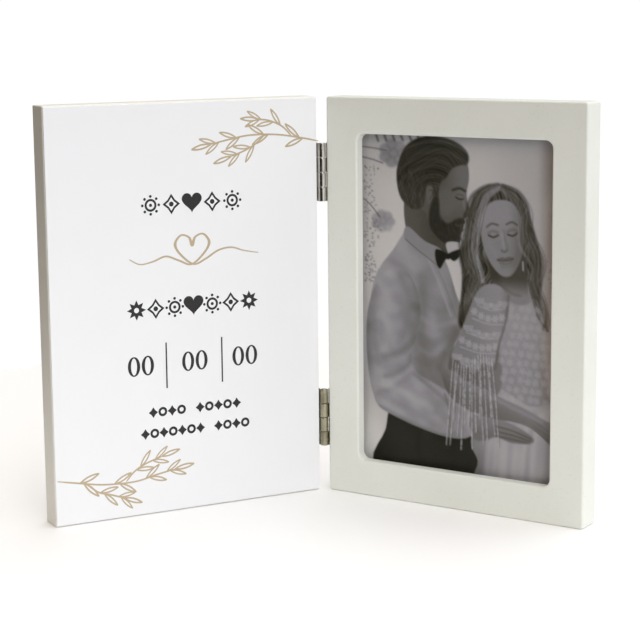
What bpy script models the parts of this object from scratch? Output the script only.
"""Folding double photo frame.

Two painted panels stand as a V and are joined along their inner edges by two small butt hinges.
The left panel is a solid board with a printed facing. The right panel is a routed frame that holds
a pane, a print and a backing board, which four turn buttons keep in its rebate.

Each panel is drawn closed flat in its own frame: X runs away from the hinge axis, Y runs from the
front face to the back, Z is up, and the hinge axis is the origin. An empty on the axis turns it out.
"""
from math import cos, pi, radians, sin

import bmesh
import bpy
from mathutils import Matrix, Vector

# Driving dimensions, in metres
PANEL_WIDTH = 0.127
PANEL_HEIGHT = 0.178
PANEL_DEPTH = 0.012
EDGE_ROUND = 0.001            # the frame's edges
CORNER_ROUND = 0.0014
BOARD_ROUND = 0.0006          # the solid board's crisper edges
HALF_ANGLE = radians(31)      # each panel's turn away from lying flat
AXIS_SIDE = 0.0021            # hinge axis to a panel's inner edge
AXIS_FRONT = 0.0004           # hinge axis to a panel's front face
GAP = 0.0003                  # air between pieces that touch

BORDER = 0.016                # width of the frame's four rails
APERTURE_CORNER = 0.0035
LIP_DEPTH = 0.0045            # rail thickness in front of the rebate
PRINT_WIDTH = 0.1016
PRINT_HEIGHT = 0.1524
REBATE_PLAY = 0.0007
PANE_DEPTH = 0.002
PRINT_DEPTH = 0.0004
FACING_DEPTH = 0.0004
FACING_INSET = 0.0005

HINGE_LENGTH = 0.026
HINGE_INSET = 0.0205          # panel end to hinge end
KNUCKLES = 4
KNUCKLE_RADIUS = 0.0018
PIN_RADIUS = 0.0008
LEAF_DEPTH = 0.0094
LEAF_THICKNESS = 0.0009
HINGE_SCREW_SHANK = 0.0009
HINGE_SCREW_HEAD = 0.0017
HINGE_SCREW_LENGTH = 0.0085
HINGE_SCREW_PITCH = 0.014     # distance between a leaf's two screws

BUTTON_LENGTH = 0.0115        # pivot to the centre of the rounded tip
BUTTON_RADIUS = 0.0035
BUTTON_THICKNESS = 0.0009
BUTTON_EDGE_DISTANCE = 0.0062  # pivot to the panel's outer or inner edge
BUTTON_SPREAD = 0.045         # pivot height above or below mid height
BUTTON_SCREW_SHANK = 0.0011
BUTTON_SCREW_HEAD = 0.002
BUTTON_SCREW_HEAD_HEIGHT = 0.0009
BUTTON_SCREW_LENGTH = 0.0075
ROUND_SEGMENTS = 24

# Places that follow from them, in a panel's own frame
INNER_X = AXIS_SIDE
OUTER_X = AXIS_SIDE + PANEL_WIDTH
MIDDLE_X = AXIS_SIDE + PANEL_WIDTH / 2
MIDDLE_Z = PANEL_HEIGHT / 2
FRONT_Y = AXIS_FRONT
BACK_Y = AXIS_FRONT + PANEL_DEPTH
REBATE_WIDTH = PRINT_WIDTH + 2 * REBATE_PLAY
REBATE_HEIGHT = PRINT_HEIGHT + 2 * REBATE_PLAY
PANE_Y = FRONT_Y + LIP_DEPTH + GAP
PRINT_Y = PANE_Y + PANE_DEPTH + GAP
BACKING_Y = PRINT_Y + PRINT_DEPTH + GAP
BUTTON_Y = BACK_Y + GAP

# The hinge axis lies behind the origin, so that the origin is under the middle of the whole object
NEAREST_Y = -(OUTER_X - EDGE_ROUND) * sin(HALF_ANGLE) + (FRONT_Y + EDGE_ROUND) * cos(HALF_ANGLE) - EDGE_ROUND
FARTHEST_Y = -(INNER_X + EDGE_ROUND) * sin(HALF_ANGLE) + (BACK_Y - EDGE_ROUND) * cos(HALF_ANGLE) + EDGE_ROUND
AXIS_Y = -(NEAREST_Y + FARTHEST_Y) / 2

for old_object in list(bpy.data.objects):
    bpy.data.objects.remove(old_object)


def new_collection(name):
    collection = bpy.data.collections.new(name)
    bpy.context.scene.collection.children.link(collection)
    return collection


PARTS = new_collection("double_photo_frame")
TOOLS = new_collection("cutters")


# Materials

def material(name, colour, roughness, metallic=0.0, alpha=1.0):
    made = bpy.data.materials.new(name)
    made.use_nodes = True
    shader = made.node_tree.nodes["Principled BSDF"]
    shader.inputs["Base Color"].default_value = (*colour, 1.0)
    shader.inputs["Roughness"].default_value = roughness
    shader.inputs["Metallic"].default_value = metallic
    shader.inputs["Alpha"].default_value = alpha
    return made


PAINT = material("ivory_paint", (0.80, 0.79, 0.75), 0.45)
FACING = material("white_print_sheet", (0.88, 0.88, 0.89), 0.40)
PANE = material("clear_pane", (0.90, 0.93, 0.92), 0.05, alpha=0.3)
PRINT = material("photo_paper", (0.42, 0.40, 0.39), 0.35)
BACKING = material("brown_board", (0.34, 0.22, 0.13), 0.75)
NICKEL = material("polished_nickel", (0.72, 0.70, 0.66), 0.20, metallic=1.0)
WARM_NICKEL = material("warm_nickel", (0.62, 0.56, 0.42), 0.25, metallic=1.0)
STEEL = material("zinc_steel", (0.60, 0.60, 0.60), 0.35, metallic=1.0)


# Shapes

def link_mesh(name, shape, collection, smooth=False):
    """Turn a bmesh into an object."""
    mesh = bpy.data.meshes.new(name)
    shape.to_mesh(mesh)
    shape.free()
    if smooth:
        mesh.shade_smooth()
        mesh.set_sharp_from_angle(angle=radians(40))
    made = bpy.data.objects.new(name, mesh)
    collection.objects.link(made)
    return made


def box(name, low, high, collection=TOOLS):
    """A box between two corners."""
    low = Vector(low)
    high = Vector(high)
    shape = bmesh.new()
    place = Matrix.Translation((low + high) / 2) @ Matrix.Diagonal((*(high - low), 1.0))
    bmesh.ops.create_cube(shape, size=1.0, matrix=place)
    return link_mesh(name, shape, collection)


def rod(name, start, end, radius, end_radius=None, collection=TOOLS):
    """A round rod, or a cone where the end radius differs, between two points."""
    start = Vector(start)
    along = Vector(end) - start
    turn = along.to_track_quat("Z", "Y").to_matrix().to_4x4()
    shape = bmesh.new()
    bmesh.ops.create_cone(
        shape,
        cap_ends=True,
        segments=ROUND_SEGMENTS,
        radius1=radius,
        radius2=radius if end_radius is None else end_radius,
        depth=along.length,
        matrix=Matrix.Translation(start + along / 2) @ turn,
    )
    return link_mesh(name, shape, collection, smooth=True)


def turned(name, profile, collection=TOOLS):
    """A solid turned about Z from (radius, height) points that run down its outer side."""
    shape = bmesh.new()
    points = [shape.verts.new((radius, 0.0, height)) for radius, height in profile]
    for upper, lower in zip(points, points[1:]):
        shape.edges.new((upper, lower))
    made = link_mesh(name, shape, collection)
    screw = made.modifiers.new("turn", "SCREW")
    screw.axis = "Z"
    screw.steps = ROUND_SEGMENTS
    screw.render_steps = ROUND_SEGMENTS
    screw.use_merge_vertices = True
    screw.merge_threshold = 0.00001
    return made


def boolean(target, tool, operation="DIFFERENCE"):
    tool.hide_render = True
    tool.display_type = "WIRE"
    cut = target.modifiers.new(tool.name, "BOOLEAN")
    cut.operation = operation
    cut.object = tool
    cut.solver = "EXACT"


def settled_mesh(source):
    """The mesh that an object's modifiers or curve come to."""
    ready = source.evaluated_get(bpy.context.evaluated_depsgraph_get())
    return bpy.data.meshes.new_from_object(ready)


def arc(centre, radius, first, last, steps=5):
    """Points on an arc between two angles in radians."""
    turns = [first + (last - first) * step / steps for step in range(steps + 1)]
    return [(centre[0] + radius * cos(turn), centre[1] + radius * sin(turn)) for turn in turns]


def rounded_rectangle(width, height, radius):
    """The outline of a centred rectangle with round corners."""
    across = width / 2 - radius
    up = height / 2 - radius
    points = []
    for quarter, (side, end) in enumerate([(1, 1), (-1, 1), (-1, -1), (1, -1)]):
        first = quarter * pi / 2
        points += arc((side * across, end * up), radius, first, first + pi / 2)
    return points


def slab(name, outlines, front, back, edge, collection):
    """A plate of flat outlines in X and Z, between two depths, with rounded edges."""
    flat = bpy.data.curves.new(name, "CURVE")
    flat.dimensions = "2D"
    flat.fill_mode = "BOTH"
    flat.extrude = (back - front) / 2 - edge
    flat.bevel_depth = edge
    flat.bevel_resolution = 1
    flat.offset = -edge
    for outline in outlines:
        spline = flat.splines.new("POLY")
        spline.points.add(len(outline) - 1)
        for point, (across, up) in zip(spline.points, outline):
            point.co = (across, up, 0.0, 1.0)
        spline.use_cyclic_u = True
    sketch = bpy.data.objects.new(name + "_outline", flat)
    collection.objects.link(sketch)
    mesh = settled_mesh(sketch)
    bpy.data.objects.remove(sketch)
    shape = bmesh.new()
    shape.from_mesh(mesh)
    bpy.data.meshes.remove(mesh)
    bmesh.ops.remove_doubles(shape, verts=shape.verts, dist=0.000001)
    upright = Matrix.Translation((0.0, (front + back) / 2, 0.0)) @ Matrix.Rotation(pi / 2, 4, "X")
    shape.transform(upright)
    bmesh.ops.recalc_face_normals(shape, faces=shape.faces)
    return link_mesh(name, shape, collection)


def place(made, name, panel, paint, at=(0.0, 0.0, 0.0)):
    """Give a finished piece its name, material and place on a panel."""
    made.name = name
    made.data.name = name
    made.data.materials.clear()
    made.data.materials.append(paint)
    made.location = at
    made.parent = panel
    if made.name not in PARTS.objects:
        PARTS.objects.link(made)
        TOOLS.objects.unlink(made)
    return made


def follow(tool, panel):
    """Let a cutter stand on a panel with the piece that it cuts."""
    tool.parent = panel
    return tool


def panel_empty(name, turn):
    made = bpy.data.objects.new(name, None)
    made.location = (0.0, AXIS_Y, 0.0)
    made.rotation_euler = (0.0, 0.0, turn)
    PARTS.objects.link(made)
    return made


LEFT = panel_empty("left_panel_on_axis", HALF_ANGLE)
RIGHT = panel_empty("right_panel_on_axis", -HALF_ANGLE)
SIDES = {"left": (LEFT, -1), "right": (RIGHT, 1)}
HINGE_BASES = {"upper": PANEL_HEIGHT - HINGE_INSET - HINGE_LENGTH, "lower": HINGE_INSET}


# Left panel: a solid board and its printed facing

def left_board():
    front = FRONT_Y + FACING_DEPTH + GAP
    board = box("left_board", (-OUTER_X, front, 0.0), (-INNER_X, BACK_Y, PANEL_HEIGHT), PARTS)
    rounding = board.modifiers.new("rounded_edges", "BEVEL")
    rounding.width = BOARD_ROUND
    rounding.segments = 2
    rounding.limit_method = "ANGLE"
    return place(board, "left_board", LEFT, PAINT)


def printed_facing():
    low = (-OUTER_X + FACING_INSET, FRONT_Y, FACING_INSET)
    high = (-INNER_X - FACING_INSET, FRONT_Y + FACING_DEPTH, PANEL_HEIGHT - FACING_INSET)
    return place(box("printed_facing", low, high, PARTS), "printed_facing", LEFT, FACING)


# Right panel: the routed frame and what it holds

def centred_box(name, width, height, front, back, collection=TOOLS):
    """A box on the middle of the frame's aperture, between two depths."""
    low = (MIDDLE_X - width / 2, front, MIDDLE_Z - height / 2)
    high = (MIDDLE_X + width / 2, back, MIDDLE_Z + height / 2)
    return box(name, low, high, collection)


def frame_body():
    outer = rounded_rectangle(PANEL_WIDTH, PANEL_HEIGHT, CORNER_ROUND)
    aperture = rounded_rectangle(PANEL_WIDTH - 2 * BORDER, PANEL_HEIGHT - 2 * BORDER, APERTURE_CORNER)
    frame = slab("frame_body", [outer, aperture], FRONT_Y, BACK_Y, EDGE_ROUND, PARTS)
    frame.data.transform(Matrix.Translation((MIDDLE_X, 0.0, MIDDLE_Z)))
    rebate = centred_box("rebate_cutter", REBATE_WIDTH, REBATE_HEIGHT, FRONT_Y + LIP_DEPTH, BACK_Y + 0.002)
    boolean(frame, follow(rebate, RIGHT))
    return place(frame, "frame_body", RIGHT, PAINT)


def frame_contents():
    pane = centred_box("glass_pane", PRINT_WIDTH, PRINT_HEIGHT, PANE_Y, PANE_Y + PANE_DEPTH, PARTS)
    place(pane, "glass_pane", RIGHT, PANE)
    sheet = centred_box("photo_print", PRINT_WIDTH, PRINT_HEIGHT, PRINT_Y, PRINT_Y + PRINT_DEPTH, PARTS)
    place(sheet, "photo_print", RIGHT, PRINT)
    backing = centred_box("backing_board", PRINT_WIDTH, PRINT_HEIGHT, BACKING_Y, BACK_Y, PARTS)
    place(backing, "backing_board", RIGHT, BACKING)


# Hinges: two leaves with alternate knuckles on one pin, each leaf held by two screws

def hinge_leaf(name, panel, side, base, first_knuckle, metal):
    inner_face = side * (KNUCKLE_RADIUS - LEAF_THICKNESS)
    outer_face = side * KNUCKLE_RADIUS
    lowest_x = min(inner_face, outer_face)
    highest_x = max(inner_face, outer_face)
    plate_start = KNUCKLE_RADIUS + GAP
    plate = box(name, (lowest_x, plate_start, base), (highest_x, LEAF_DEPTH, base + HINGE_LENGTH), PARTS)
    knuckle_pitch = HINGE_LENGTH / KNUCKLES
    for number in range(first_knuckle, KNUCKLES, 2):
        bottom = base + number * knuckle_pitch + GAP / 2
        top = bottom + knuckle_pitch - GAP
        label = f"{name}_knuckle_{number + 1}"
        web = box(label + "_web", (lowest_x, 0.0, bottom), (highest_x, plate_start + GAP, top))
        barrel = rod(label, (0.0, 0.0, bottom), (0.0, 0.0, top), KNUCKLE_RADIUS)
        boolean(plate, follow(web, panel), "UNION")
        boolean(plate, follow(barrel, panel), "UNION")
    bore_end = (0.0, 0.0, base + HINGE_LENGTH + GAP)
    bore = rod(name + "_bore", (0.0, 0.0, base - GAP), bore_end, PIN_RADIUS + GAP)
    boolean(plate, follow(bore, panel))
    for height in screw_heights(base):
        start = (inner_face - side * GAP, screw_depth(), height)
        end = (outer_face + side * GAP, screw_depth(), height)
        wide = HINGE_SCREW_HEAD + 2 * GAP
        narrow = HINGE_SCREW_SHANK + GAP
        countersink = rod(f"{name}_countersink_{round(height * 1000)}", start, end, wide, narrow)
        boolean(plate, follow(countersink, panel))
    return place(plate, name, panel, metal)


def screw_heights(base):
    middle = base + HINGE_LENGTH / 2
    return [middle - HINGE_SCREW_PITCH / 2, middle + HINGE_SCREW_PITCH / 2]


def screw_depth():
    """Depth of the hinge screws, half way along the flat of a leaf."""
    return (KNUCKLE_RADIUS + LEAF_DEPTH) / 2 + GAP


def countersunk_screw(name):
    """A screw along Z with its flat head at the origin and its point below."""
    return turned(name, [
        (0.0, 0.0),
        (HINGE_SCREW_HEAD, 0.0),
        (HINGE_SCREW_SHANK, -LEAF_THICKNESS),
        (HINGE_SCREW_SHANK, -HINGE_SCREW_LENGTH + 2 * HINGE_SCREW_SHANK),
        (0.0, -HINGE_SCREW_LENGTH),
    ])


def hinge_screws(name, panel, side, base, metal):
    """A leaf's two screws, driven outwards from its inner face into the panel's edge."""
    head_face = side * (KNUCKLE_RADIUS - LEAF_THICKNESS)
    for word, height in zip(("lower", "upper"), screw_heights(base)):
        screw_name = f"{name}_{word}_screw"
        screw = countersunk_screw(screw_name)
        screw.rotation_euler = (0.0, -side * pi / 2, 0.0)
        place(screw, screw_name, panel, metal, (head_face, screw_depth(), height))


def drill_screw_holes(target, name, panel, side, base):
    for height in screw_heights(base):
        start = (side * (INNER_X - GAP), screw_depth(), height)
        end = (side * (HINGE_SCREW_LENGTH + KNUCKLE_RADIUS), screw_depth(), height)
        hole = rod(f"{name}_hole_{round(height * 1000)}", start, end, HINGE_SCREW_SHANK + GAP)
        boolean(target, follow(hole, panel))


def hinge_pin(name, base, metal):
    bevel = PIN_RADIUS / 3
    pin = turned(name, [
        (0.0, base + HINGE_LENGTH),
        (PIN_RADIUS - bevel, base + HINGE_LENGTH),
        (PIN_RADIUS, base + HINGE_LENGTH - bevel),
        (PIN_RADIUS, base + bevel),
        (PIN_RADIUS - bevel, base),
        (0.0, base),
    ])
    pin.data.shade_smooth()
    return place(pin, name, LEFT, metal)


# Turn buttons: flat plates that swing on a screw over the edge of the backing board

def turn_button(name, at, side):
    """A plate whose pivot is at the origin and whose tip points to the middle of the frame."""
    heel = arc((0.0, 0.0), BUTTON_RADIUS, pi / 2, 3 * pi / 2, 10)
    tip = arc((BUTTON_LENGTH, 0.0), BUTTON_RADIUS * 0.8, -pi / 2, pi / 2, 10)
    outline = [(side * across, up) for across, up in heel + tip]
    plate = slab(name, [outline], 0.0, BUTTON_THICKNESS, BUTTON_THICKNESS / 5, PARTS)
    hole = rod(name + "_hole", (0.0, -GAP, 0.0), (0.0, BUTTON_THICKNESS + GAP, 0.0), BUTTON_SCREW_SHANK + GAP)
    hole.parent = plate
    boolean(plate, hole)
    return place(plate, name, RIGHT, STEEL, at)


def button_screw(name, at):
    """A pan-head screw that stands on a button, its head outwards along Y."""
    head_base = BUTTON_THICKNESS + GAP
    screw = turned(name, [
        (0.0, head_base + BUTTON_SCREW_HEAD_HEIGHT),
        (BUTTON_SCREW_HEAD * 0.7, head_base + BUTTON_SCREW_HEAD_HEIGHT),
        (BUTTON_SCREW_HEAD, head_base + BUTTON_SCREW_HEAD_HEIGHT / 2),
        (BUTTON_SCREW_HEAD, head_base),
        (BUTTON_SCREW_SHANK, head_base),
        (BUTTON_SCREW_SHANK, head_base - BUTTON_SCREW_LENGTH + BUTTON_SCREW_SHANK),
        (0.0, head_base - BUTTON_SCREW_LENGTH),
    ])
    screw.data.shade_smooth()
    place(screw, name, RIGHT, STEEL, at)
    screw.rotation_euler = (-pi / 2, 0.0, 0.0)
    return screw


def fit_turn_buttons(frame):
    columns = {"inner": (INNER_X + BUTTON_EDGE_DISTANCE, 1), "outer": (OUTER_X - BUTTON_EDGE_DISTANCE, -1)}
    rows = {"upper": MIDDLE_Z + BUTTON_SPREAD, "lower": MIDDLE_Z - BUTTON_SPREAD}
    for row, height in rows.items():
        for column, (across, side) in columns.items():
            at = (across, BUTTON_Y, height)
            turn_button(f"turn_button_{row}_{column}", at, side)
            button_screw(f"turn_button_screw_{row}_{column}", at)
            start = (across, BACK_Y + GAP, height)
            end = (across, BACK_Y - BUTTON_SCREW_LENGTH + BUTTON_THICKNESS, height)
            hole = rod(f"button_hole_{row}_{column}", start, end, BUTTON_SCREW_SHANK + GAP)
            boolean(frame, follow(hole, RIGHT))


BOARD = left_board()
printed_facing()
FRAME = frame_body()
frame_contents()
for level, base in HINGE_BASES.items():
    metal = NICKEL if level == "upper" else WARM_NICKEL
    hinge_pin(f"{level}_hinge_pin", base, metal)
    for word, (panel, side) in SIDES.items():
        name = f"{level}_hinge_{word}"
        first_knuckle = 1 if word == "left" else 0
        hinge_leaf(name + "_leaf", panel, side, base, first_knuckle, metal)
        hinge_screws(name, panel, side, base, metal)
        drill_screw_holes(BOARD if word == "left" else FRAME, name, panel, side, base)
fit_turn_buttons(FRAME)
